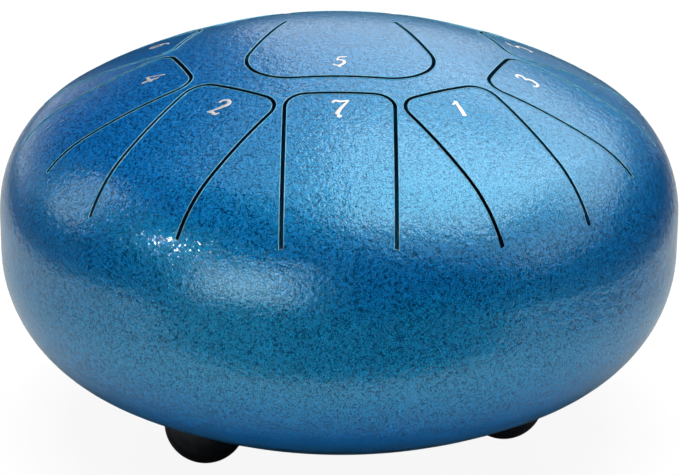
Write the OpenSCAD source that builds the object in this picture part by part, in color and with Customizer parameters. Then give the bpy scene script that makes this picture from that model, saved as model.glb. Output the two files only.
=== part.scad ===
// Steel tongue drum. Two pressed steel dishes are welded rim to rim round a hollow body.
// Eleven tongues are laser cut in the top dish, ten in a ring and one in the middle, and
// the sound leaves through a round hole in the bottom dish. Three domed rubber feet, each
// moulded on a steel stud, are bolted through the bottom dish.
// Sizes are in millimetres. Z is up, the front tongue points to -Y and the feet stand on z = 0.

/* [Body] */
// Outer diameter of the drum at its weld seam
body_d = 200; // [190:1:250]
// Thickness of the pressed steel sheet
sheet_t = 1.5; // [1.2:0.1:2.5]
// Height of the straight rim on each dish
rim_h = 5.5; // [4:0.5:15]
// Outer radius of the top dish over its crown
top_crown_r = 167; // [158:1:200]
// Outer radius of the top dish where it turns down to its rim
top_knuckle_r = 36; // [30:1:42]
// Outer radius of the bottom dish over its crown
bottom_crown_r = 157.5; // [150:0.5:190]
// Outer radius of the bottom dish where it turns up to its rim
bottom_knuckle_r = 39; // [32:1:42]
// Diameter of the sound hole in the middle of the bottom dish
sound_hole_d = 60; // [40:1:66]

/* [Weld seam] */
// Depth of the groove that the weld fills
groove_depth = 1; // [0.6:0.1:1.1]
// Width of the groove at the outside of the body
groove_w = 2.4; // [1.6:0.1:3]

/* [Slots] */
// Width of the laser-cut slots round the tongues
slot_w = 1.3; // [0.8:0.1:1.8]
// Metal left between the slots of neighbouring ring tongues, where they are closest
web_w = 2.3; // [2:0.1:4]

/* [Ring tongues] */
// Distance from the middle of the drum to the free ends of the ring tongues
ring_inner_r = 47.5; // [46:0.5:52]
// How much further in the front and rear tongues reach
ring_reach = 3.5; // [0:0.1:4]
// Radius of the corners at a ring tongue's free end
ring_corner_r = 5.9; // [4:0.1:8]
// Distance in from the outside of the body to the slot ends of the longest tongue
root_gap = 5.5; // [4:0.1:12]

/* [Centre tongue] */
// Distance from the middle of the drum to the centre tongue's free end
centre_front = 35.2; // [32:0.1:38]
// Distance from the middle of the drum back to the ends of its slots
centre_back = 14.3; // [10:0.1:20]
// Width of its free end, before the corners are rounded
centre_front_w = 64; // [56:0.5:66]
// Width between the ends of its slots
centre_root_w = 32.2; // [26:0.1:40]
// Radius of the corners at its free end
centre_corner_r = 14.6; // [8:0.1:16]

/* [Feet] */
// Radius of the circle that the three feet are bolted on
foot_circle_r = 52.5; // [50:0.5:62]
// Turn of the left foot from the front of the drum, in degrees
foot_turn = 48; // [0:1:119]
// Radius of the rubber dome
foot_r = 12; // [10.5:0.1:14]
// Height of the dome's tip over the dish
foot_h = 10.2; // [9:0.1:11.5]
// Depth of the flat that the floor presses into the dome
foot_flat = 0.4; // [0.2:0.1:0.8]

/* [Foot fixings] */
// Diameter of the stud
stud_d = 5; // [4:0.1:6]
// Play of the stud in its hole in the dish
stud_play = 0.5; // [0.3:0.1:1]
// Diameter of the round plate at the stud's head, inside the rubber
plate_d = 14; // [10:0.5:15]
// Thickness of that plate
plate_t = 1.5; // [1:0.1:2]
// Thickness of the rubber between the plate and the dish
plate_cover = 1.5; // [1:0.1:2]
// Outer diameter of the washer inside the drum
washer_d = 10; // [9:0.5:14]
// Thickness of the washer
washer_t = 1; // [0.8:0.1:1.6]
// Play of the stud in the washer's hole
washer_play = 0.3; // [0.2:0.1:0.6]
// Width of the nut across its flats
nut_w = 8; // [7:0.5:10]
// Height of the nut
nut_h = 4; // [3:0.1:5]
// Play between the stud and the nut's bore, which takes up the thread
thread_play = 0.1; // [0.05:0.05:0.2]
// Length of stud that stands out of the nut
stud_end = 1.2; // [0.5:0.1:3]

/* [Hidden] */
$fn = 120;

// How far cuts run past the faces that they open
overrun = 1;
// How far rounded corners stand proud of the straight edges that they join
lap = 0.002;
// Number of feet. They are counted from 0, the left one, by way of the right one to the rear.
foot_count = 3;

// Length of each ring tongue as a share of the longest, from the front round to the right.
// A shorter tongue sounds a higher note, and the notes climb from side to side to the rear.
tongue_shares = [0.968, 0.921, 0.850, 0.808, 0.743, 1, 0.729, 0.778, 0.844, 0.907];
tongue_count = len(tongue_shares);
tongue_pitch = 360 / tongue_count;
longest_tongue = body_d / 2 - root_gap - (ring_inner_r - ring_reach);

// Half the width of a ring tongue: its rounded corner keeps half a web from the line
// halfway to the next tongue
corner_clear = ring_corner_r + slot_w / 2 + web_w / 2;
corner_y = ring_inner_r + ring_corner_r;
corner_x = (corner_y * sin(tongue_pitch / 2) - corner_clear) / cos(tongue_pitch / 2);
ring_half_w = corner_x + ring_corner_r;

// The feet stand square to the bottom dish, so their axes pass through its crown's centre
body_r = body_d / 2;
foot_tilt = asin(foot_circle_r / bottom_crown_r);
foot_centre = bottom_crown_r + foot_h - foot_r;
bottom_crown_z = foot_centre * cos(foot_tilt) + foot_r - foot_flat;
seam_z = bottom_crown_z - crown_depth(bottom_crown_r, bottom_knuckle_r) + rim_h;

// Places along a foot's axis, as distances from the crown's centre
washer_seat = sqrt(pow(bottom_crown_r - sheet_t, 2) - pow(washer_d / 2, 2));
nut_seat = washer_seat - washer_t;
stud_tip = nut_seat - nut_h - stud_end;
plate_top = bottom_crown_r + plate_cover;

// How far a crown's centre lies behind the plane of its knuckle's centre
function crown_depth(crown_r, knuckle_r) =
    sqrt(pow(crown_r - knuckle_r, 2) - pow(body_r - knuckle_r, 2));

function unit(v) = v / norm(v);

// The front and rear tongues reach further in than the others
function is_long(i) = i % (tongue_count / 2) == 0;

function inner_edge(i) = ring_inner_r - (is_long(i) ? ring_reach : 0);

// Right half of the section through a dish that opens downwards, filled to its axis.
// Its knuckle is centred on y = 0, and inset moves the surface in by the sheet's thickness.
module dish_section(crown_r, knuckle_r, inset, rim) {
    knuckle_x = body_r - knuckle_r;
    lean = asin(knuckle_x / (crown_r - knuckle_r));
    crown_edge = [knuckle_x + crown_r * sin(lean), crown_r * cos(lean)];
    intersection() {
        translate([0, -crown_depth(crown_r, knuckle_r)])
            circle(r = crown_r - inset);
        polygon([[0, 0], [knuckle_x, 0], crown_edge, [0, crown_r]]);
    }
    intersection() {
        translate([knuckle_x, 0])
            circle(r = knuckle_r - inset);
        translate([knuckle_x, 0])
            square(knuckle_r);
    }
    translate([0, -rim])
        square([body_r - inset, rim]);
}

// Pressed dish, opening downwards, with its weld bevel. Its rim ends on z = 0.
module dish(crown_r, knuckle_r) {
    translate([0, 0, rim_h])
        rotate_extrude()
            difference() {
                dish_section(crown_r, knuckle_r, 0, rim_h);
                dish_section(crown_r, knuckle_r, sheet_t, rim_h + overrun);
                translate([body_r - groove_depth, -rim_h])
                    polygon([
                        [0, -overrun],
                        [2 * groove_depth, -overrun],
                        [2 * groove_depth, groove_w],
                        [0, 0]
                    ]);
            }
}

// Filled outline of a tongue whose free end points down the page, grown by grow all round
// and run on by past beyond the ends of its slots
module tongue_outline(root_half_w, back, front_half_w, front, corner_r, grow, past) {
    side = unit([root_half_w - front_half_w, back - front]);
    outward = [side[1], -side[0]];
    bend_r = corner_r + grow;
    bend = [front_half_w - corner_r / tan(acos(-side[0]) / 2), front + corner_r];
    root = [root_half_w, back] + past * side;
    right = [
        bend + [0, -bend_r],
        bend + bend_r * outward,
        root + grow * outward,
        root - (slot_w / 2 + overrun) * outward
    ];
    left = [for (i = [len(right) - 1 : -1 : 0]) [-right[i][0], right[i][1]]];
    polygon(concat(right, left));
    for (hand = [-1, 1])
        translate([hand * bend[0], bend[1]])
            circle(r = bend_r + lap);
}

// Slot round a tongue: two sides that start at square ends by its root, run down to its free
// edge and turn into it in rounded corners
module tongue_slot(root_half_w, back, front_half_w, front, corner_r) {
    reach = slot_w / 2;
    difference() {
        tongue_outline(root_half_w, back, front_half_w, front, corner_r, reach, reach);
        tongue_outline(root_half_w, back, front_half_w, front, corner_r, -reach, reach + overrun);
    }
}

// All the slots, seen from above
module slots() {
    for (i = [0 : tongue_count - 1])
        rotate(180 + i * tongue_pitch)
            tongue_slot(
                ring_half_w, inner_edge(i) + tongue_shares[i] * longest_tongue,
                ring_half_w, inner_edge(i), ring_corner_r
            );
    tongue_slot(
        centre_root_w / 2, centre_back,
        centre_front_w / 2, -centre_front, centre_corner_r
    );
}

// Puts a piece of foot i in its place. Its z axis runs out of the drum along the foot's
// axis, and starts at the crown's centre.
module at_foot(i) {
    turn = i * 360 / foot_count - foot_turn;
    translate([0, 0, bottom_crown_z])
        rotate([180 - foot_tilt, 0, turn])
            children();
}

// Upper half of the body, with the eleven tongues
module top_shell() {
    color("#2a7fb8")
        difference() {
            translate([0, 0, seam_z])
                dish(top_crown_r, top_knuckle_r);
            translate([0, 0, seam_z + rim_h])
                linear_extrude(top_crown_r)
                    slots();
        }
}

// Lower half of the body, with the sound hole and the holes for the feet's studs
module bottom_shell() {
    color("#256f9f")
        difference() {
            translate([0, 0, seam_z])
                mirror([0, 0, 1])
                    dish(bottom_crown_r, bottom_knuckle_r);
            translate([0, 0, bottom_crown_z - bottom_crown_r - overrun])
                cylinder(h = seam_z, d = sound_hole_d);
            for (i = [0 : foot_count - 1])
                at_foot(i)
                    translate([0, 0, bottom_crown_r - sheet_t - overrun])
                        cylinder(h = sheet_t + 2 * overrun, d = stud_d + stud_play);
        }
}

// Ring of weld that fills the groove between the rims, ground flush with the body
module seam_weld() {
    color("#1f6a9c")
        translate([0, 0, seam_z])
            rotate_extrude()
                polygon([
                    [body_r - groove_depth, 0],
                    [body_r, -groove_w / 2],
                    [body_r, groove_w / 2]
                ]);
}

// Rubber dome, moulded to the curve of the dish and pressed flat where it stands
module rubber_foot(i) {
    color("#1b1b1d")
        difference() {
            at_foot(i)
                difference() {
                    translate([0, 0, foot_centre])
                        sphere(r = foot_r);
                    sphere(r = bottom_crown_r);
                    translate([0, 0, bottom_crown_r - overrun])
                        cylinder(h = plate_cover + overrun, d = stud_d);
                    translate([0, 0, plate_top])
                        cylinder(h = plate_t, d = plate_d);
                }
            translate([-body_r, -body_r, -foot_r])
                cube([body_d, body_d, foot_r]);
        }
}

// Steel plate and stud in one piece, bonded in the rubber
module foot_stud(i) {
    color("#b9bcc0")
        at_foot(i) {
            translate([0, 0, stud_tip])
                cylinder(h = plate_top - stud_tip, d = stud_d);
            translate([0, 0, plate_top])
                cylinder(h = plate_t, d = plate_d);
        }
}

// Flat washers, one on each stud, bearing on the hollow side of the dish by their rims
module foot_washers() {
    color("#c9ccd0")
        for (i = [0 : foot_count - 1])
            at_foot(i)
                translate([0, 0, nut_seat])
                    difference() {
                        cylinder(h = washer_t, d = washer_d);
                        translate([0, 0, -overrun])
                            cylinder(h = washer_t + 2 * overrun, d = stud_d + washer_play);
                    }
}

// Hexagon nuts, one on each stud
module foot_nuts() {
    color("#a9adb2")
        for (i = [0 : foot_count - 1])
            at_foot(i)
                translate([0, 0, nut_seat - nut_h])
                    difference() {
                        cylinder(h = nut_h, d = nut_w / cos(30), $fn = 6);
                        translate([0, 0, -overrun])
                            cylinder(h = nut_h + 2 * overrun, d = stud_d + thread_play);
                    }
}

module foot_left() { rubber_foot(0); }
module foot_right() { rubber_foot(1); }
module foot_rear() { rubber_foot(2); }
module stud_left() { foot_stud(0); }
module stud_right() { foot_stud(1); }
module stud_rear() { foot_stud(2); }

top_shell();
bottom_shell();
seam_weld();
foot_left();
foot_right();
foot_rear();
stud_left();
stud_right();
stud_rear();
foot_washers();
foot_nuts();
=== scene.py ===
import math

import bpy
from mathutils import Matrix, Vector


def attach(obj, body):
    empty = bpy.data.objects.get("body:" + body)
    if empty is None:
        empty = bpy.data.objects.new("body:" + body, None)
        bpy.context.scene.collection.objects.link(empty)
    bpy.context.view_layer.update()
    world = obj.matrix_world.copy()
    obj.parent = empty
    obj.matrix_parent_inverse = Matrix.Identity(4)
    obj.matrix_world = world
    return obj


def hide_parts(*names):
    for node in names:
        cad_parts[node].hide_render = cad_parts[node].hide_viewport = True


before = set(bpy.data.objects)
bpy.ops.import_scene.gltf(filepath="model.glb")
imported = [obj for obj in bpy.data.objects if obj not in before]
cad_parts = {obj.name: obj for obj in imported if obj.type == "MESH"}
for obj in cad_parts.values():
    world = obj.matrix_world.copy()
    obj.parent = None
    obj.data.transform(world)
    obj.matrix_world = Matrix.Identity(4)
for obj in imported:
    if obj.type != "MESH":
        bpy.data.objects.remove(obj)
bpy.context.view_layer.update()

# The hammered enamel on the two dishes and on the weld that joins them. It is sprayed on thick over
# the pressed steel and stoved, and draws together into small cells of light blue metallic paint
# with dark veins between them, under a glossy skin that ripples like orange peel.
SEAM_Z = 0.0623
BODY_MIDDLE = (0, 0, SEAM_Z)
SLOT_REACH = 0.0955
SLOT_WALL_TILT = 0.02
# Sizes across the surface, in metres
CELL = 0.00070
CELL_BEND = 0.00045
SPECK = CELL * 1.3
TONE = CELL * 0.55
RIPPLE = 0.0019
# How far the domes of the cells run into each other, from 0 to 1
CELL_SOFTNESS = 0.4
# A vein's half width as a share of a cell, at its thinnest and how much more at its widest
VEIN_THIN = 0.016
VEIN_MORE = 0.20
# Heights in millimetres
RIPPLE_HEIGHT = 0.150
DOME_HEIGHT = 0.036
VEIN_DEPTH = 0.012
# The skin, and the metal flakes under it, which show more in a vein
SKIN_ROUGH = 0.03
SKIN_IOR = 1.95
INSIDE_ROUGH = 0.5
FLAKE_ROUGH = 0.36
WALL_ROUGH = 0.5
FLAKE_SHARE = 0.28
FLAKE_SHARE_VEIN = 0.36
PAINT_CELL = (0.002, 0.176, 0.560, 1)
PAINT_DEEP = (0.001, 0.074, 0.300, 1)
PAINT_VEIN = (0.001, 0.026, 0.130, 1)
FLAKE_CELL = (0.006, 0.420, 0.410, 1)
FLAKE_VEIN = (0.001, 0.120, 0.240, 1)
# The slot walls: the enamel darkened to painted shade for the slots' depths
SLOT_WALL_PAINTED_SHADE = (0.002, 0.032, 0.075, 1)
INSIDE = (0.010, 0.360, 0.620, 1)


class Wire:
    """A shader socket that can be added, multiplied and compared in plain expressions."""

    def __init__(self, shader, socket):
        self.shader = shader
        self.socket = socket

    def __add__(self, other):
        return self.shader.math("ADD", self, other)

    def __sub__(self, other):
        return self.shader.math("SUBTRACT", self, other)

    def __rsub__(self, other):
        return self.shader.math("SUBTRACT", other, self)

    def __mul__(self, other):
        return self.shader.math("MULTIPLY", self, other)

    def __truediv__(self, other):
        return self.shader.math("DIVIDE", self, other)

    def __lt__(self, other):
        return self.shader.math("LESS_THAN", self, other)

    def __abs__(self):
        return self.shader.math("ABSOLUTE", self)

    __radd__ = __add__
    __rmul__ = __mul__


class Finish:
    """A material under construction. node() adds a node, and the other methods those used most."""

    def __init__(self, name):
        self.material = bpy.data.materials.new(name)
        self.material.use_nodes = True
        self.tree = self.material.node_tree
        self.tree.nodes.clear()

    def node(self, kind, settings=None, **inputs):
        made = self.tree.nodes.new(kind)
        for key, value in (settings or {}).items():
            setattr(made, key, value)
        for key, value in inputs.items():
            self.join(value, made.inputs[key.replace("_", " ")])
        return made

    def join(self, value, socket):
        if isinstance(value, Wire):
            self.tree.links.new(value.socket, socket)
        else:
            socket.default_value = value

    def wire(self, node, output=0):
        return Wire(self, node.outputs[output])

    def math(self, operation, *values):
        made = self.node("ShaderNodeMath", {"operation": operation})
        for socket, value in zip(made.inputs, values):
            self.join(value, socket)
        return self.wire(made)

    def vector(self, operation, *values, output=0):
        made = self.node("ShaderNodeVectorMath", {"operation": operation})
        for socket, value in zip(made.inputs, values):
            self.join(value, socket)
        return self.wire(made, output)

    def smooth(self, value, low, high):
        made = self.node("ShaderNodeMapRange", {"interpolation_type": "SMOOTHSTEP"}, Value=value)
        made.inputs["From Min"].default_value = low
        made.inputs["From Max"].default_value = high
        return self.wire(made)

    def mix(self, share, first, second):
        made = self.node("ShaderNodeMix", {"data_type": "RGBA"})
        self.join(share, made.inputs[0])
        self.join(first, made.inputs[6])
        self.join(second, made.inputs[7])
        return self.wire(made, 2)

    def place(self):
        return self.wire(self.node("ShaderNodeTexCoord"), "Object")

    def noise(self, place, size, detail=2.0, rough=0.5):
        made = self.node("ShaderNodeTexNoise", Vector=place, Scale=1 / size,
                         Detail=detail, Roughness=rough)
        return self.wire(made, "Fac")

    def wander(self, place, size, far):
        """The place moved about by up to half of far, so that what is laid out on it isn't even."""
        drift = self.node("ShaderNodeTexNoise", Vector=place, Scale=1 / size, Detail=1.0)
        centred = self.vector("SUBTRACT", self.wire(drift, "Color"), (0.5, 0.5, 0.5))
        return self.vector("ADD", place, self.vector("MULTIPLY", centred, (far, far, far)))

    def bump(self, height):
        """A bump from a height in millimetres."""
        made = self.node("ShaderNodeBump", Height=height)
        made.inputs["Strength"].default_value = 1.0
        made.inputs["Distance"].default_value = 0.001
        return self.wire(made)

    def principled(self, colour, metallic, roughness, normal=None):
        made = self.node("ShaderNodeBsdfPrincipled", Base_Color=colour,
                         Metallic=metallic, Roughness=roughness)
        if normal:
            self.join(normal, made.inputs["Normal"])
        return made

    def surface(self, shader):
        out = self.node("ShaderNodeOutputMaterial")
        self.tree.links.new(shader.outputs[0], out.inputs["Surface"])
        return self.material


def hammered_enamel():
    paint = Finish("hammered_enamel")
    place = paint.place()
    bent = paint.wander(place, CELL, CELL_BEND)
    edges = paint.node("ShaderNodeTexVoronoi", {"feature": "DISTANCE_TO_EDGE"},
                       Vector=bent, Scale=1 / CELL)
    edge = paint.wire(edges, "Distance")
    domes = paint.node("ShaderNodeTexVoronoi", {"feature": "SMOOTH_F1"},
                       Vector=bent, Scale=1 / CELL)
    domes.inputs["Smoothness"].default_value = CELL_SOFTNESS
    dome = paint.wire(domes, "Distance")
    speck = paint.noise(place, SPECK, 3.0, 0.6)
    width = paint.smooth(speck, 0.36, 0.66) * VEIN_MORE + VEIN_THIN
    vein = 1.0 - paint.smooth(edge / width, 0.2, 1.2)
    tone = paint.smooth(paint.noise(place, TONE, 1.0), 0.36, 0.64)
    colour = paint.mix(vein, paint.mix(tone, PAINT_DEEP, PAINT_CELL), PAINT_VEIN)
    shine = paint.mix(vein, FLAKE_CELL, FLAKE_VEIN)

    # The inside faces the middle of the drum, and the walls of the slots stand upright
    facing = paint.wire(paint.node("ShaderNodeNewGeometry"), "True Normal")
    outward = paint.vector("SUBTRACT", place, BODY_MIDDLE)
    inner = paint.vector("DOT_PRODUCT", facing, outward, output="Value") < 0.0
    tilt = paint.wire(paint.node("ShaderNodeSeparateXYZ", Vector=facing), "Z")
    level = paint.vector("LENGTH", paint.vector("MULTIPLY", place, (1, 1, 0)), output="Value")
    wall_in_painted_shade = (abs(tilt) < SLOT_WALL_TILT) * (level < SLOT_REACH)
    # The upright walls take the dark colour, painted shade in place of lit enamel
    colour = paint.mix(wall_in_painted_shade, paint.mix(inner, colour, INSIDE), SLOT_WALL_PAINTED_SHADE)
    shine = paint.mix(wall_in_painted_shade, paint.mix(inner, shine, INSIDE), SLOT_WALL_PAINTED_SHADE)

    ripple = paint.noise(place, RIPPLE, 1.0)
    bump = paint.bump(ripple * RIPPLE_HEIGHT - dome * DOME_HEIGHT - vein * VEIN_DEPTH)
    skin = paint.principled(colour, 0.0, SKIN_ROUGH + inner * INSIDE_ROUGH, bump)
    skin.inputs["IOR"].default_value = SKIN_IOR
    # On the walls the flake shader takes over as dark rough metal, part of the same painted shade
    flake = paint.principled(shine, 1.0 - inner, FLAKE_ROUGH + wall_in_painted_shade * WALL_ROUGH, bump)
    share = paint.math("MAXIMUM", FLAKE_SHARE + vein * FLAKE_SHARE_VEIN, wall_in_painted_shade)
    both = paint.node("ShaderNodeMixShader", Fac=share)
    paint.tree.links.new(skin.outputs[0], both.inputs[1])
    paint.tree.links.new(flake.outputs[0], both.inputs[2])
    return paint.surface(both)


def give(node, material):
    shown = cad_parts[node]
    shown.data.materials.clear()
    shown.data.materials.append(material)


enamel = hammered_enamel()
for node in ("top_shell", "bottom_shell", "seam_weld"):
    give(node, enamel)

# The fat edges of the enamel. In the stove it draws back from the cut edges of the slots and of the
# sound hole, and sets in a thin round bead along each, smoother than the rest and paler, partly
# painted highlight.
BEAD_R = 0.00013
# Paler than the enamel: partly the thin paint's own colour, partly a painted highlight along the
# edges
BEAD_PAINTED_HIGHLIGHT = (0.060, 0.340, 0.520, 1)
BEAD_THIN = (0.200, 0.420, 0.520, 1)
BEAD_PATCH = 0.0015
BEAD_METALLIC = 0.35
BEAD_ROUGH = 0.16
BEAD_ROUGH_MORE = 0.16
BEAD_BUMP = 0.05
# The top dish: its crown, the knuckle that turns down to the rim, and where they meet
CROWN_R = 0.167
CROWN_Z = -0.0465
KNUCKLE_R = 0.036
KNUCKLE_REACH = 0.064
KNUCKLE_Z = 0.0678018
CROWN_EDGE = 0.0816
HOLE_R = 0.030
HOLE_EDGE_Z = 0.0045
ON_SURFACE = 0.00004
SAME_POINT = 0.000002
CUT_EDGE = math.radians(50)


def enamel_bead_painted_highlight():
    bead = Finish("enamel_bead_painted_highlight")
    place = bead.place()
    thin = bead.noise(place, BEAD_PATCH, 3.0)
    # The pale bead colour is partly painted highlight
    colour = bead.mix(bead.smooth(thin, 0.40, 0.65), BEAD_PAINTED_HIGHLIGHT, BEAD_THIN)
    rough = BEAD_ROUGH + thin * BEAD_ROUGH_MORE
    return bead.surface(bead.principled(colour, BEAD_METALLIC, rough, bead.bump(thin * BEAD_BUMP)))


def on_top_dish(point):
    """Whether a point lies on the outside of the top dish, within the reach of the slots."""
    out = math.hypot(point.x, point.y)
    if out > SLOT_REACH or point.z < SEAM_Z:
        return False
    if out < CROWN_EDGE:
        return abs(math.hypot(out, point.z - CROWN_Z) - CROWN_R) < ON_SURFACE
    return abs(math.hypot(out - KNUCKLE_REACH, point.z - KNUCKLE_Z) - KNUCKLE_R) < ON_SURFACE


def on_hole_edge(point):
    """Whether a point lies on the outer edge of the sound hole."""
    return math.hypot(point.x, point.y) < HOLE_R + ON_SURFACE and point.z < HOLE_EDGE_Z


def bead_along(node, name, on_edge):
    """A bead along the cut edges of a CAD node, where both ends of an edge pass the test."""
    source = bpy.data.objects.new(name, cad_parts[node].data.copy())
    bpy.context.collection.objects.link(source)
    bpy.ops.object.select_all(action="DESELECT")
    source.select_set(True)
    bpy.context.view_layer.objects.active = source
    bpy.ops.object.mode_set(mode="EDIT")
    bpy.ops.mesh.select_mode(type="EDGE")
    bpy.ops.mesh.select_all(action="SELECT")
    bpy.ops.mesh.remove_doubles(threshold=SAME_POINT)
    bpy.ops.mesh.select_all(action="DESELECT")
    bpy.ops.mesh.edges_select_sharp(sharpness=CUT_EDGE)
    bpy.ops.object.mode_set(mode="OBJECT")
    mesh = source.data
    chosen = [edge.index for edge in mesh.edges
              if edge.select and all(on_edge(mesh.vertices[v].co) for v in edge.vertices)]
    for part in (mesh.polygons, mesh.edges, mesh.vertices):
        part.foreach_set("select", [False] * len(part))
    for index in chosen:
        mesh.edges[index].select = True
        for v in mesh.edges[index].vertices:
            mesh.vertices[v].select = True
    bpy.ops.object.mode_set(mode="EDIT")
    bpy.ops.mesh.duplicate()
    bpy.ops.mesh.select_all(action="INVERT")
    bpy.ops.mesh.delete(type="VERT")
    bpy.ops.object.mode_set(mode="OBJECT")
    bpy.ops.object.convert(target="CURVE")
    bead = bpy.context.object
    bead.data.bevel_depth = BEAD_R
    bead.data.bevel_resolution = 1
    bpy.ops.object.convert(target="MESH")
    bead = bpy.context.object
    bead.name = name
    bpy.ops.object.shade_smooth()
    return bead


bead_paint = enamel_bead_painted_highlight()
beaded = (("top_shell", "slot_beads", on_top_dish), ("bottom_shell", "hole_bead", on_hole_edge))
for node, name, on_edge in beaded:
    bead = bead_along(node, name, on_edge)
    bead.data.materials.clear()
    bead.data.materials.append(bead_paint)
    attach(bead, "root")

# The numerals on the tongues, plain numbers for the notes. A laser burns the enamel off the steel
# in the strokes of a broad pen, and a dot under or over a number lowers or raises it by an octave.
PITCH = math.radians(36)
# Heights, and distances of their middles from the drum's axis
NUMERAL_H = 0.0070
NUMERAL_R = 0.0562
LONG_NUMERAL_R = 0.0510
LONG_TONGUES = (0, 5)
CENTRE_NUMERAL_H = 0.0056
CENTRE_NUMERAL_R = 0.0257
DOT_GAP = 0.00030
DOT_R = 0.00068
# The pen, in shares of a numeral's height
PEN_MIDDLE = (0.48, 0.5)
NARROW = 0.84
BOLD = 0.015
DOT_ASIDE = -0.02
# A stroke is pressed to this share of its thickness, and stands this far proud of the enamel
PRESSED = 0.035
PROUD = 0.00001
HATCH = 0.00025
ETCHED = (0.82, 0.81, 0.79, 1)
ETCHED_DULL = (0.62, 0.60, 0.57, 1)
# Pen strokes of each number: points in a box 1 high, each with half the stroke's width
STROKES = {
    1: [[(0.64, 1.00, 0.060), (0.50, 0.50, 0.078), (0.36, 0.00, 0.082)],
        [(0.66, 1.00, 0.050), (0.50, 0.87, 0.042), (0.34, 0.82, 0.022)]],
    2: [[(0.20, 0.74, 0.045), (0.30, 0.93, 0.045), (0.53, 0.99, 0.060), (0.72, 0.82, 0.085),
         (0.58, 0.52, 0.075), (0.32, 0.20, 0.040), (0.12, 0.03, 0.025)],
        [(0.12, 0.04, 0.030), (0.32, 0.09, 0.070), (0.56, 0.02, 0.065), (0.76, 0.13, 0.020)]],
    3: [[(0.26, 0.84, 0.035), (0.42, 0.98, 0.045), (0.65, 0.92, 0.070), (0.64, 0.70, 0.065),
         (0.42, 0.56, 0.026)],
        [(0.42, 0.56, 0.026), (0.66, 0.47, 0.065), (0.68, 0.20, 0.080), (0.44, 0.01, 0.055),
         (0.18, 0.04, 0.040), (0.10, 0.15, 0.050)]],
    4: [[(0.72, 1.00, 0.035), (0.40, 0.66, 0.030), (0.08, 0.33, 0.030)],
        [(0.06, 0.32, 0.040), (0.46, 0.33, 0.055), (0.88, 0.36, 0.030)],
        [(0.76, 0.70, 0.045), (0.64, 0.34, 0.070), (0.54, 0.00, 0.078)]],
    5: [[(0.38, 0.97, 0.045), (0.62, 0.99, 0.062), (0.90, 1.05, 0.020)],
        [(0.39, 0.97, 0.036), (0.33, 0.78, 0.030), (0.27, 0.58, 0.026)],
        [(0.27, 0.58, 0.030), (0.48, 0.64, 0.050), (0.71, 0.48, 0.082), (0.66, 0.18, 0.080),
         (0.40, 0.00, 0.050), (0.16, 0.04, 0.045), (0.08, 0.14, 0.055)]],
    6: [[(0.80, 0.99, 0.020), (0.50, 0.86, 0.045), (0.25, 0.54, 0.078), (0.22, 0.20, 0.080),
         (0.42, 0.00, 0.048), (0.66, 0.16, 0.075), (0.68, 0.42, 0.070), (0.50, 0.57, 0.040),
         (0.28, 0.42, 0.026)]],
    7: [[(0.12, 0.82, 0.035), (0.24, 0.95, 0.055), (0.52, 0.91, 0.058), (0.90, 1.00, 0.026)],
        [(0.90, 1.00, 0.026), (0.60, 0.56, 0.052), (0.42, 0.24, 0.080), (0.34, 0.02, 0.090)]],
}
# Number and dot, below (-1) or above (1), from the front tongue round to the right
NOTES = [(7, -1), (1, 0), (3, 0), (5, 0), (7, 0), (6, -1), (1, 1), (6, 0), (4, 0), (2, 0)]


def etched_steel():
    steel = Finish("etched_steel")
    place = steel.place()
    hatch = steel.noise(place, HATCH, 2.0)
    colour = steel.mix(steel.smooth(hatch, 0.35, 0.70), ETCHED, ETCHED_DULL)
    bump = steel.bump(hatch * 0.012)
    return steel.surface(steel.principled(colour, 0.75, 0.34 + hatch * 0.2, bump))


def dot_at(x, y, radius):
    bpy.ops.object.select_all(action="DESELECT")
    bpy.ops.mesh.primitive_uv_sphere_add(segments=16, ring_count=8, radius=radius,
                                         location=(x, y, 0))
    bpy.ops.object.transform_apply()
    return bpy.context.object


def stroke_along(points, height):
    """One pen stroke of a numeral of this height, round as a cord until it is pressed flat."""
    bpy.ops.object.select_all(action="DESELECT")
    bpy.ops.curve.primitive_bezier_curve_add(location=(0, 0, 0))
    pen = bpy.context.object
    spline = pen.data.splines[0]
    spline.bezier_points.add(len(points) - len(spline.bezier_points))
    for knot, (x, y, half) in zip(spline.bezier_points, points):
        knot.co = ((x - PEN_MIDDLE[0]) * height * NARROW, (y - PEN_MIDDLE[1]) * height, 0)
        knot.radius = half + BOLD
        knot.handle_left_type = knot.handle_right_type = "AUTO"
    spline.resolution_u = 8
    pen.data.bevel_depth = height
    pen.data.bevel_resolution = 2
    pen.data.use_fill_caps = True
    bpy.ops.object.convert(target="MESH")
    return bpy.context.object


def numeral(number, dot, name, turn, reach, height):
    """A numeral of this height on the crown, reach from the axis and turned round it."""
    parts = [stroke_along(points, height) for points in STROKES[number]]
    if dot:
        away = height / 2 + DOT_GAP + DOT_R / 2
        parts.append(dot_at(DOT_ASIDE * height, dot * away, DOT_R * height / NUMERAL_H))
    bpy.ops.object.select_all(action="DESELECT")
    for part in parts:
        part.select_set(True)
    bpy.context.view_layer.objects.active = parts[0]
    if len(parts) > 1:
        bpy.ops.object.join()
    made = bpy.context.object
    made.name = name
    # Pressed flat, and laid on the crown with its top towards the middle of the drum
    middle = CROWN_R * math.asin(reach / CROWN_R)
    for vertex in made.data.vertices:
        x, y, z = vertex.co
        out = CROWN_R * math.sin((middle - y) / CROWN_R)
        px = x * math.cos(turn) + out * math.sin(turn)
        py = x * math.sin(turn) - out * math.cos(turn)
        lift = CROWN_Z + math.sqrt(CROWN_R ** 2 - px ** 2 - py ** 2)
        vertex.co = (px, py, lift + PROUD + z * PRESSED)
    bpy.ops.object.shade_smooth()
    made.data.materials.append(steel)
    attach(made, "root")


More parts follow.
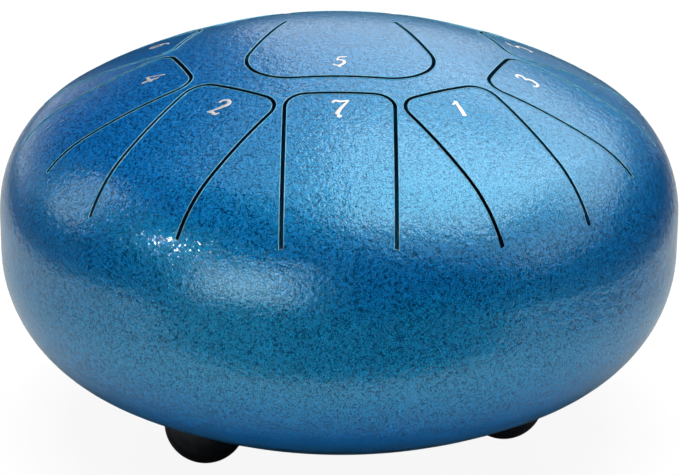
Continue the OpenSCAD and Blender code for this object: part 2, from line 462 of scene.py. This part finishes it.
steel = etched_steel()
for i, (number, dot) in enumerate(NOTES):
    reach = LONG_NUMERAL_R if i in LONG_TONGUES else NUMERAL_R
    numeral(number, dot, "numeral_%d" % (i + 1), i * PITCH, reach, NUMERAL_H)
numeral(5, -1, "numeral_centre", 0, CENTRE_NUMERAL_R, CENTRE_NUMERAL_H)

# The three feet: domes of black rubber, moulded round the plate of a stud and bolted to the bottom
# dish. The rubber has the even satin of the mould, with a little dust and rub where it stands.
RUBBER = (0.007, 0.007, 0.008, 1)
RUBBER_DUSTY = (0.022, 0.022, 0.025, 1)
RUBBER_GRAIN = 0.0004
DUST_PATCH = 0.005


def moulded_rubber():
    rubber = Finish("moulded_rubber")
    place = rubber.place()
    grain = rubber.noise(place, RUBBER_GRAIN, 3.0)
    dust = rubber.noise(place, DUST_PATCH, 3.0)
    colour = rubber.mix(rubber.smooth(dust, 0.45, 0.75), RUBBER, RUBBER_DUSTY)
    bump = rubber.bump(grain * 0.02)
    return rubber.surface(rubber.principled(colour, 0.0, 0.36 + dust * 0.2, bump))


rubber = moulded_rubber()
for node in ("foot_left", "foot_right", "foot_rear"):
    give(node, rubber)

# The fixings of the feet, inside the drum: a stud that stands on a plate bonded in the rubber, a
# washer on the dish's inner face, and a nut. They are mild steel, zinc plated: the threads are
# rolled, the washers are stamped, and the nuts are cold formed with a chamfer on their corners.
ZINC = (0.62, 0.64, 0.67, 1)
ZINC_DULL = (0.40, 0.42, 0.46, 1)
ZINC_BLOTCH = 0.002
# The feet's axes come together in the middle of the bottom dish's crown
LOW_CROWN_Z = 0.158395
FOOT_TURN = math.radians(-48)
FOOT_STEP = math.radians(120)
FOOT_TILT = math.radians(180 - 19.47)
FEET = ("left", "right", "rear")
# Distances along a foot's axis from there, and radii round it
STUD_TIP = 0.14972
STUD_TAPER = 0.00030
TIP_WIDE = 0.82
THREAD_R = 0.00248
THREAD_ROOT_R = 0.00206
THREAD_PITCH = 0.0008
THREAD_TURNS = 12
THREAD_STEPS = 24
THREAD_EASE = math.radians(30)
PLATE_R = 0.0070
PLATE_FROM = 0.1590
PLATE_TO = 0.1605
PLATE_EASE = 0.0003
IN_PLATE = 0.0001
WASHER_R = 0.0050
WASHER_HOLE_R = 0.00265
WASHER_FROM = 0.15492
WASHER_TO = 0.15592
WASHER_EASE = 0.00014
PUNCH_PAST = 0.001
NUT_FROM = 0.15092
NUT_FLATS = 0.008
NUT_CORNER_R = NUT_FLATS / 2 / math.cos(math.radians(30))
NUT_HOLE_R = 0.00255
NUT_CHAMFER = 0.0004
NUT_FACE_WIDE = 0.85
NUT_MOUTH = 0.0003
NUT_MOUTH_WIDE = 1.16
NUT_EASE = 0.00007


def zinc_plate():
    zinc = Finish("zinc_plate")
    place = zinc.place()
    blotch = zinc.noise(place, ZINC_BLOTCH, 3.0)
    colour = zinc.mix(zinc.smooth(blotch, 0.4, 0.7), ZINC, ZINC_DULL)
    return zinc.surface(zinc.principled(colour, 1.0, 0.25 + blotch * 0.25))


def pick(made):
    """Makes one piece the only one that is selected, and the one that the operators work on."""
    bpy.ops.object.select_all(action="DESELECT")
    made.select_set(True)
    bpy.context.view_layer.objects.active = made


def round_bar(radius, low, high, corners=48):
    """A bar round the z axis, to be shaped."""
    bpy.ops.object.select_all(action="DESELECT")
    bpy.ops.mesh.primitive_cylinder_add(vertices=corners, radius=radius, depth=high - low,
                                        location=(0, 0, (low + high) / 2))
    bpy.ops.object.transform_apply()
    return bpy.context.object


def draw_end(made, side, far, wide):
    """Extrudes the flat end on one side (-1 low, 1 high) by far, and scales it across by wide."""
    flat, near = 0.99, 0.00001
    pick(made)
    mesh = made.data
    last = max(side * vertex.co.z for vertex in mesh.vertices)
    bpy.ops.object.mode_set(mode="EDIT")
    bpy.ops.mesh.select_mode(type="FACE")
    bpy.ops.mesh.select_all(action="DESELECT")
    bpy.ops.object.mode_set(mode="OBJECT")
    for face in mesh.polygons:
        face.select = side * face.normal.z > flat and side * face.center.z > last - near
    bpy.ops.object.mode_set(mode="EDIT")
    bpy.ops.mesh.extrude_region_move(TRANSFORM_OT_translate={"value": (0, 0, side * far)})
    bpy.ops.transform.resize(value=(wide, wide, 1), center_override=(0, 0, 0))
    bpy.ops.object.mode_set(mode="OBJECT")


def cut(made, tool, operation):
    """Cuts a piece with a tool, which is used up."""
    change = made.modifiers.new("cut", "BOOLEAN")
    change.operation = operation
    change.object = tool
    pick(made)
    bpy.ops.object.modifier_apply(modifier=change.name)
    bpy.data.objects.remove(tool)


def ease(made, width):
    """Rounds the sharp edges off."""
    bevel = made.modifiers.new("ease", "BEVEL")
    bevel.width = width
    bevel.segments = 2
    bevel.limit_method = "ANGLE"
    bevel.angle_limit = math.radians(35)
    pick(made)
    bpy.ops.object.modifier_apply(modifier=bevel.name)
    bpy.ops.object.shade_smooth_by_angle(angle=math.radians(40))
    return made


def threaded_stud():
    """One turn of the thread, wound up into a rod, cut to length, drawn to a tip and plated."""
    bpy.ops.object.select_all(action="DESELECT")
    bpy.ops.mesh.primitive_plane_add(size=THREAD_PITCH)
    rod = bpy.context.object
    # The turn's outline: root, crest, crest, root, with the plane's fourth side taken out
    outline = ((THREAD_ROOT_R, 0), (THREAD_R, 0.45), (THREAD_R, 0.55), (THREAD_ROOT_R, 1))
    for corner, (radius, rise) in zip((0, 1, 3, 2), outline):
        height = STUD_TIP - THREAD_PITCH / 2 + rise * THREAD_PITCH
        rod.data.vertices[corner].co = (radius, 0, height)
    bpy.ops.object.mode_set(mode="EDIT")
    bpy.ops.mesh.select_mode(type="EDGE")
    bpy.ops.mesh.select_all(action="DESELECT")
    bpy.ops.object.mode_set(mode="OBJECT")
    for edge in rod.data.edges:
        edge.select = set(edge.vertices) == {0, 2}
    bpy.ops.object.mode_set(mode="EDIT")
    bpy.ops.mesh.delete(type="EDGE")
    bpy.ops.object.mode_set(mode="OBJECT")
    screw = rod.modifiers.new("thread", "SCREW")
    screw.screw_offset = THREAD_PITCH
    screw.iterations = THREAD_TURNS
    screw.steps = screw.render_steps = THREAD_STEPS
    bpy.ops.object.modifier_apply(modifier=screw.name)
    bpy.ops.object.mode_set(mode="EDIT")
    bpy.ops.mesh.select_all(action="SELECT")
    bpy.ops.mesh.remove_doubles(threshold=SAME_POINT)
    for end, side in ((STUD_TIP + STUD_TAPER, -1), (PLATE_FROM + IN_PLATE, 1)):
        bpy.ops.mesh.select_all(action="SELECT")
        bpy.ops.mesh.bisect(plane_co=(0, 0, end), plane_no=(0, 0, side),
                            use_fill=True, clear_outer=True)
    bpy.ops.mesh.select_all(action="SELECT")
    bpy.ops.mesh.normals_make_consistent(inside=False)
    bpy.ops.object.mode_set(mode="OBJECT")
    draw_end(rod, -1, STUD_TAPER, TIP_WIDE)
    bpy.ops.object.shade_smooth_by_angle(angle=THREAD_EASE)
    plate = ease(round_bar(PLATE_R, PLATE_FROM, PLATE_TO), PLATE_EASE)
    pick(rod)
    plate.select_set(True)
    bpy.ops.object.join()
    return rod


def stamped_washer():
    washer = round_bar(WASHER_R, WASHER_FROM, WASHER_TO)
    punch = round_bar(WASHER_HOLE_R, WASHER_FROM - PUNCH_PAST, WASHER_TO + PUNCH_PAST)
    cut(washer, punch, "DIFFERENCE")
    return ease(washer, WASHER_EASE)


def chamfered_nut():
    """A six-sided bar, less what is outside a round bar with drawn-in ends, and with its bore."""
    nut = round_bar(NUT_CORNER_R, NUT_FROM, WASHER_FROM, 6)
    bpy.ops.transform.rotate(value=math.radians(30), orient_axis="Z", center_override=(0, 0, 0))
    bpy.ops.object.transform_apply()
    turned = round_bar(NUT_CORNER_R, NUT_FROM + NUT_CHAMFER, WASHER_FROM - NUT_CHAMFER, 64)
    bore = round_bar(NUT_HOLE_R, NUT_FROM + NUT_MOUTH, WASHER_FROM - NUT_MOUTH)
    for side in (-1, 1):
        draw_end(turned, side, NUT_CHAMFER, NUT_FACE_WIDE)
        draw_end(bore, side, NUT_CHAMFER, NUT_MOUTH_WIDE)
    cut(nut, turned, "INTERSECT")
    cut(nut, bore, "DIFFERENCE")
    return ease(nut, NUT_EASE)


zinc = zinc_plate()
fixings = ((threaded_stud, "stud_%s", "threaded_stud_%s"),
           (stamped_washer, "foot_washers", "washer_%s"),
           (chamfered_nut, "foot_nuts", "nut_%s"))
for model, node, name in fixings:
    first = model()
    first.data.materials.clear()
    first.data.materials.append(zinc)
    for i, foot in enumerate(FEET):
        pick(first)
        bpy.ops.object.duplicate()
        fixing = bpy.context.object
        fixing.name = name % foot
        turn = Matrix.Rotation(FOOT_TURN + i * FOOT_STEP, 4, "Z")
        tilt = Matrix.Rotation(FOOT_TILT, 4, "X")
        fixing.matrix_world = Matrix.Translation((0, 0, LOW_CROWN_Z)) @ turn @ tilt
        bpy.ops.object.transform_apply()
        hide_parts(node.replace("%s", foot))
        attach(fixing, "root")
    bpy.data.objects.remove(first)

# The set: a pale table top that runs out of sight. The camera sees it as white paper that keeps
# the drum's shadow. In the drum's mirror image the paper is a sheet that ends close by, on black.
PAPER = (0.90, 0.90, 0.90, 1)
PAPER_TONE = (0.78, 0.78, 0.78, 1)
PAPER_BOUNCE = (0.97, 0.99, 1.00, 1)
PAPER_MIRRORED = (0.37, 0.37, 0.37, 1)
PAPER_GLOW = 0.92
SHEET_MIDDLE = (-0.03, 0.133, 0)
SHEET_HALF = (0.27, 0.30, 1)
# Where the sheet ends in the mirror image and in the light it throws up, as shares of its half size
SHEET_EDGE = (0.97, 1.03)
BOUNCE_EDGE = (1.3, 2.2)
BLACK = (0.012, 0.013, 0.015, 1)
TABLE_SIZE = 14


def table_top():
    table = Finish("table_top")
    place = table.place()
    tone = table.noise(place, 0.5, 2.0) * 0.05
    path = table.node("ShaderNodeLightPath")
    seen = table.math("MAXIMUM", table.wire(path, "Is Camera Ray"),
                      table.wire(path, "Is Transmission Ray"))
    from_middle = table.vector("ABSOLUTE", table.vector("SUBTRACT", place, SHEET_MIDDLE))
    shares = table.vector("DIVIDE", from_middle, SHEET_HALF)
    over = table.node("ShaderNodeSeparateXYZ", Vector=shares)
    share = table.math("MAXIMUM", table.wire(over, "X"), table.wire(over, "Y"))
    bounced = table.mix(table.smooth(share, *BOUNCE_EDGE), PAPER_BOUNCE, BLACK)
    mirrored = table.mix(table.smooth(share, *SHEET_EDGE), PAPER_MIRRORED, BLACK)
    colour = table.mix(table.wire(path, "Is Glossy Ray"), bounced, mirrored)
    colour = table.mix(seen, colour, table.mix(tone, PAPER, PAPER_TONE))
    paper = table.node("ShaderNodeBsdfDiffuse", Color=colour)
    glow = table.node("ShaderNodeEmission")
    glow.inputs["Strength"].default_value = 1.0
    lit = table.node("ShaderNodeMixShader", Fac=seen * PAPER_GLOW)
    # Seen from below it is clear, so that the drum's underside can be looked at
    clear = table.node("ShaderNodeBsdfTransparent")
    below = table.wire(table.node("ShaderNodeNewGeometry"), "Backfacing")
    both = table.node("ShaderNodeMixShader", Fac=below)
    links = ((paper, lit.inputs[1]), (glow, lit.inputs[2]),
             (lit, both.inputs[1]), (clear, both.inputs[2]))
    for shader, socket in links:
        table.tree.links.new(shader.outputs[0], socket)
    return table.surface(both)


bpy.ops.object.select_all(action="DESELECT")
bpy.ops.mesh.primitive_plane_add(size=TABLE_SIZE, location=(0, 0, 0))
table = bpy.context.object
table.name = "table_top"
table.data.materials.append(table_top())

# The dark room round the set, a dome of black cloth far off. It is seen in reflections alone, where
# it hides the white world, so that the gloss shows only the lamps and the sheet of paper.
ROOM_R = 4.5
ROOM_CLOTH = (0.10, 0.10, 0.11, 1)
CLOTH_FOLD_SHADE = 0.8


def room_cloth():
    cloth = Finish("room_cloth")
    # Darker patches of painted shade stand in for the shade in the cloth's folds
    fold_shade = cloth.noise(cloth.place(), CLOTH_FOLD_SHADE, 2.0)
    colour = cloth.mix(fold_shade * 0.5, ROOM_CLOTH, BLACK)
    return cloth.surface(cloth.node("ShaderNodeBsdfDiffuse", Color=colour))


bpy.ops.object.select_all(action="DESELECT")
bpy.ops.mesh.primitive_uv_sphere_add(segments=48, ring_count=24, radius=ROOM_R, location=(0, 0, 0))
room = bpy.context.object
room.name = "dark_room"
room.data.materials.append(room_cloth())
room.visible_camera = False
room.visible_diffuse = False
room.visible_shadow = False
room.visible_transmission = False


# The lamps, soft boxes round a dark studio, placed where the reflections in the photograph show
# them. Those lit for the gloss alone are only mirrored, and those lit for the paint never are.
def lamp(name, bearing, height, distance, size, strength, lights="all", roll=0.0, shift=(0.0, 0.0)):
    """A soft lamp turned to the drum, in degrees from behind the drum clockwise and from level.
    Strength is its own brightness; lights is what it lights: all, gloss or paint."""
    around, above, turn = math.radians(bearing), math.radians(height), math.radians(roll)
    flat = math.cos(above)
    out = Vector((math.sin(around) * flat, math.cos(around) * flat, math.sin(above)))
    across = Vector((math.cos(around), -math.sin(around), 0))
    up = out.cross(across)
    if up.z < 0:
        up = -up
    side = across * math.cos(turn) + up * math.sin(turn)
    rise = up * math.cos(turn) - across * math.sin(turn)
    data = bpy.data.lights.new(name, "AREA")
    data.shape = "RECTANGLE"
    data.size, data.size_y = size
    data.energy = strength * math.pi * size[0] * size[1]
    made = bpy.data.objects.new(name, data)
    bpy.context.collection.objects.link(made)
    centre = Vector(BODY_MIDDLE) + out * distance + side * shift[0] + rise * shift[1]
    axes = Matrix((side, out.cross(side), out)).transposed()
    made.matrix_world = Matrix.Translation(centre) @ axes.to_4x4()
    made.visible_camera = False
    made.visible_diffuse = lights != "gloss"
    made.visible_glossy = lights != "paint"
    return made


# Over the table in front of the drum, with a grid, so that only the table throws its light up
table_light = lamp("table_light", 0, 89, 0.25, (0.80, 0.12), 2.6, "paint", shift=(0.05, 0.27))
table_light.data.spread = math.radians(40)
# The large soft box at the right, brighter towards its middle, and the low light under it
lamp("soft_box", 70.2, 49.6, 1.5, (4.60, 3.10), 0.28, roll=-14.3, shift=(0.10, 0.53))
lamp("soft_box_core", 76, 52, 1.48, (3.3, 2.5), 0.23, "gloss", roll=-14.3, shift=(0.0, 0.45))
lamp("soft_box_heart", 85, 68, 1.45, (1.7, 1.2), 2.0, "gloss")
lamp("fill_right", 100, 18, 1.5, (1.00, 0.55), 0.40)
# The strip behind the drum, and the large box's bright rear corner
lamp("soft_box_rear", 3.5, 27, 1.5, (0.58, 1.10), 1.25)
lamp("soft_box_right", 54, 50, 1.47, (1.70, 1.10), 0.38, "gloss")
lamp("soft_box_lip", 48, 32, 1.46, (1.60, 0.60), 1.15, "gloss")
# Low and wide light from the walls, and the white ceiling
lamp("wall_glow", -36, 3, 1.5, (1.05, 0.50), 0.40)
lamp("horizon_left", -30, 1, 1.5, (0.70, 0.14), 0.8)
lamp("horizon_right", 22, -1, 1.5, (0.60, 0.14), 0.8)
lamp("ceiling", 0, 88, 1.5, (1.50, 1.50), 7.0, "paint")
# Small lamps near the drum: two patches on its front and left, and a bare bulb's sparkle
lamp("fill_front", -155, 10, 0.34, (0.21, 0.175), 1.1, "gloss")
lamp("fill_front_heart", -154, 9, 0.335, (0.13, 0.09), 1.4, "gloss")
lamp("fill_left", -80, 25, 0.59, (0.20, 0.33), 1.4)
lamp("spark", -121, 28, 1.24, (0.040, 0.040), 270, "gloss")

# The world, the white backdrop that the camera sees past the table. As a light it is nearly dark,
# and the dark room hides it from reflections, so that it adds next to nothing to the paint.
WORLD_LIGHT = 0.03
WORLD_SEEN = 1.0

world = bpy.data.worlds.new("studio")
bpy.context.scene.world = world
world.use_nodes = True
tree = world.node_tree
tree.nodes.clear()
path = tree.nodes.new("ShaderNodeLightPath")
seen = path.outputs["Is Camera Ray"]
for ray in ("Is Glossy Ray", "Is Transmission Ray"):
    either = tree.nodes.new("ShaderNodeMath")
    either.operation = "MAXIMUM"
    tree.links.new(seen, either.inputs[0])
    tree.links.new(path.outputs[ray], either.inputs[1])
    seen = either.outputs[0]
strength = tree.nodes.new("ShaderNodeMapRange")
strength.inputs["To Min"].default_value = WORLD_LIGHT
strength.inputs["To Max"].default_value = WORLD_SEEN
background = tree.nodes.new("ShaderNodeBackground")
background.inputs["Color"].default_value = (1, 1, 1, 1)
out = tree.nodes.new("ShaderNodeOutputWorld")
tree.links.new(seen, strength.inputs["Value"])
tree.links.new(strength.outputs[0], background.inputs["Strength"])
tree.links.new(background.outputs[0], out.inputs["Surface"])

# The camera, a long lens standing where the photograph was taken from, about 0.8 m away and 20
# degrees up. Roll is in radians, and the lens and its sensor are in millimetres.
CAMERA = (0, -0.7540, 0.3249)
AIM = (0.0003, 0, 0.0566)
ROLL = 0.0064
LENS = 142.08
SENSOR = 36
NEAREST = 0.01

view = bpy.data.cameras.new("camera")
view.lens = LENS
view.sensor_width = SENSOR
view.clip_start = NEAREST
camera = bpy.data.objects.new("camera", view)
bpy.context.collection.objects.link(camera)
ahead = (Vector(AIM) - Vector(CAMERA)).normalized()
level = ahead.cross(Vector((0, 0, 1))).normalized()
right = Matrix.Rotation(-ROLL, 3, ahead) @ level
axes = Matrix((right, right.cross(ahead), -ahead)).transposed()
camera.matrix_world = Matrix.Translation(CAMERA) @ axes.to_4x4()
bpy.context.scene.camera = camera
bpy.context.scene.view_settings.view_transform = "Standard"
